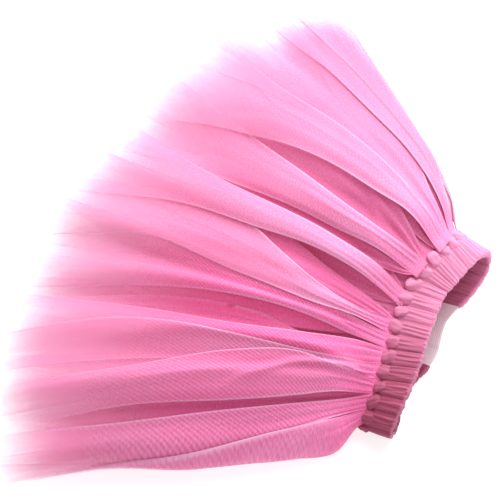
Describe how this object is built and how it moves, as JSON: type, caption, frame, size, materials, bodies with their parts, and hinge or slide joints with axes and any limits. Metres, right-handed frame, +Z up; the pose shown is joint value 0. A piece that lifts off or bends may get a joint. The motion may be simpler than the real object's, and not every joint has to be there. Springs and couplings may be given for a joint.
{
  "type": "dog tutu skirt",
  "caption": "Full tulle tutu skirt for a small dog: strips of soft tulle knotted over a narrow elastic waistband, lying on its side and fanned out.",
  "frame": {"origin": "on the surface the skirt lies on, under the middle of its outline", "axes": "+X from the hem towards the waist opening, +Y along the flattened waistband, +Z up"},
  "size_m": [0.218, 0.3334, 0.0636],
  "materials": {
    "tulle": "soft sheer tulle",
    "elastic": "matte knitted elastic"
  },
  "bodies": {
    "root": {"waistband_elastic": "elastic", "tulle_strip_01": "tulle", "tulle_strip_02": "tulle", "tulle_strip_03": "tulle", "tulle_strip_04": "tulle", "tulle_strip_05": "tulle", "tulle_strip_06": "tulle", "tulle_strip_07": "tulle", "tulle_strip_08": "tulle", "tulle_strip_09": "tulle", "tulle_strip_10": "tulle", "tulle_strip_11": "tulle", "tulle_strip_12": "tulle", "tulle_strip_13": "tulle", "tulle_strip_14": "tulle", "tulle_strip_15": "tulle", "tulle_strip_16": "tulle", "tulle_strip_17": "tulle", "tulle_strip_18": "tulle", "tulle_strip_19": "tulle", "tulle_strip_20": "tulle", "tulle_strip_21": "tulle", "tulle_strip_22": "tulle", "tulle_strip_23": "tulle", "tulle_strip_24": "tulle", "tulle_strip_30": "tulle", "tulle_strip_31": "tulle", "tulle_strip_32": "tulle", "tulle_strip_33": "tulle", "tulle_strip_34": "tulle"}
  },
  "joints": []
}
